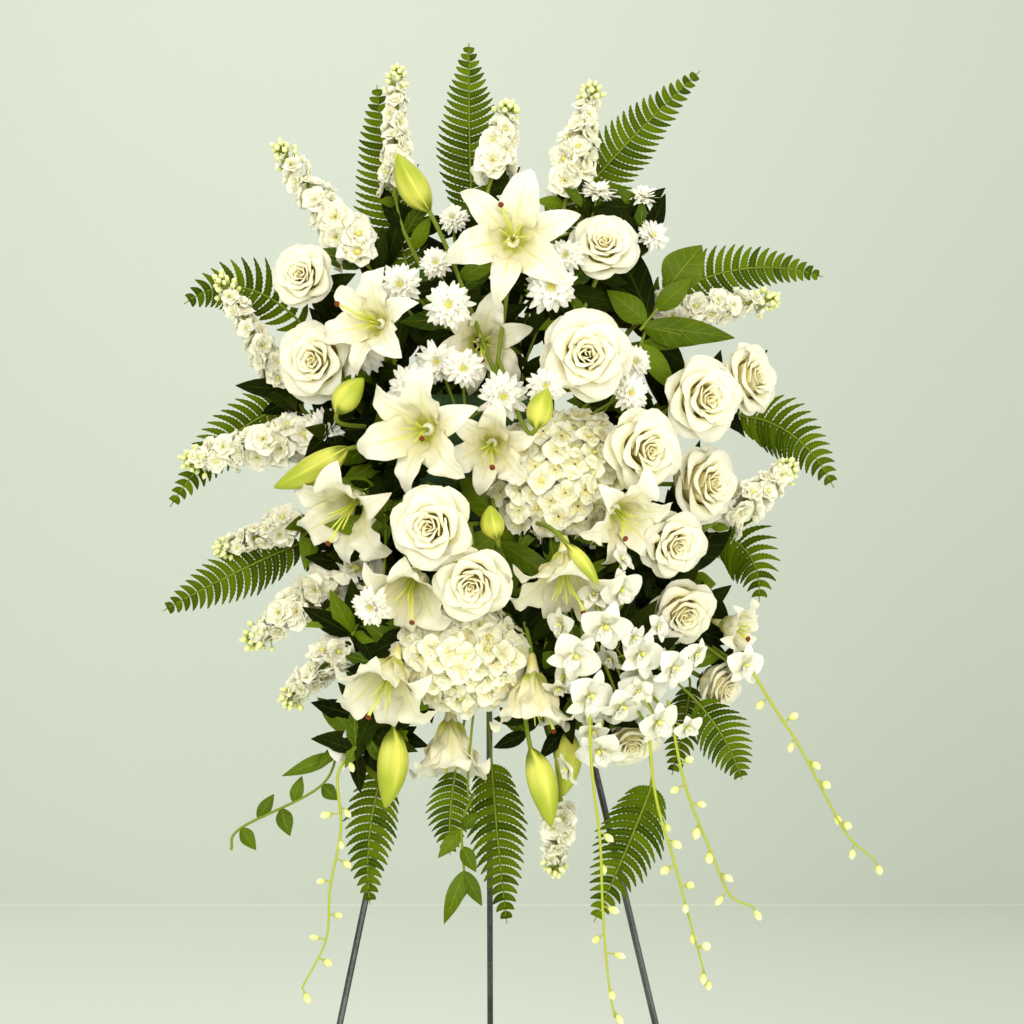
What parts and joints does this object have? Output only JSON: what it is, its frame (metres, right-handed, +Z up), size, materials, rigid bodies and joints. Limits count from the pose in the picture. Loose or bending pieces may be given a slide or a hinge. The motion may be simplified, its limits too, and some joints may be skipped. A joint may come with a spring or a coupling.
{
  "type": "standing funeral flower spray on a wire easel",
  "caption": "Standing funeral spray: white roses, lilies, hydrangeas, stocks, spray mums and trailing orchids with ferns in a foam block on a folding three-legged wire easel",
  "frame": {"origin": "on the floor, under the middle of the object's box", "axes": "+Z up; -Y is the front, which the flowers face; +X is the viewer's right"},
  "size_m": [0.7558, 0.6975, 1.6153],
  "materials": {
    "steel": "satin",
    "tip": "matte",
    "tray": "matte",
    "foam": "matte, open-celled",
    "rose": "soft petal",
    "hydrangea": "soft petal",
    "lily": "waxy petal",
    "stock": "soft petal",
    "mum": "soft petal",
    "orchid": "waxy petal",
    "fern": "leaf",
    "leaf": "glossy leaf"
  },
  "bodies": {
    "stand": {"easel_front": "steel", "foot_tip_left": "tip", "foot_tip_right": "tip", "holder_tray": "tray", "foam_block": "foam", "roses_left": "rose", "roses_upper_right": "rose", "roses_right_upper": "rose", "roses_right_middle": "rose", "roses_right_lower": "rose", "roses_bottom_right": "rose", "roses_centre": "rose", "hydrangea_right": "hydrangea", "hydrangea_left": "hydrangea", "lilies_top": "lily", "lily_left_upper": "lily", "lily_left_middle": "lily", "lily_centre": "lily", "lilies_left_lower": "lily", "lilies_hanging_left": "lily", "lily_hanging_right": "lily", "lilies_right": "lily", "lily_right_edge": "lily", "stock_top_left": "stock", "stock_top_right": "stock", "stock_left_upper": "stock", "stock_right_upper": "stock", "stock_left_middle": "stock", "stock_left_lower": "stock", "stock_right_middle": "stock", "stock_bottom": "stock", "mums_top": "mum", "mums_centre": "mum", "mums_top_right": "mum", "mums_left": "mum", "mums_right": "mum", "orchid_far_right": "orchid", "orchid_right": "orchid", "orchid_centre": "orchid", "orchid_left": "orchid", "fern_top_left": "fern", "fern_top": "fern", "fern_top_right": "fern", "fern_right_upper": "fern", "fern_right_middle": "fern", "fern_right_lower": "fern", "fern_right_bottom": "fern", "fern_left_upper": "fern", "fern_left_middle": "fern", "fern_left_lower": "fern", "fern_bottom_left": "fern", "fern_bottom": "fern", "fern_bottom_right": "fern", "ruscus_left": "leaf", "ruscus_bottom": "leaf", "leaves_upper_right": "leaf", "leaves_right": "leaf", "leaves_left": "leaf"},
    "rear_leg": {"easel_rear_leg": "steel", "foot_tip_rear": "tip"}
  },
  "joints": [
    {"name": "rear_leg_fold", "type": "hinge", "parent": "stand", "child": "rear_leg", "pos_m": [-0.026, -0.0225, 1.233], "axis": [-1, 0, 0], "range_deg": [0, 22]}
  ]
}
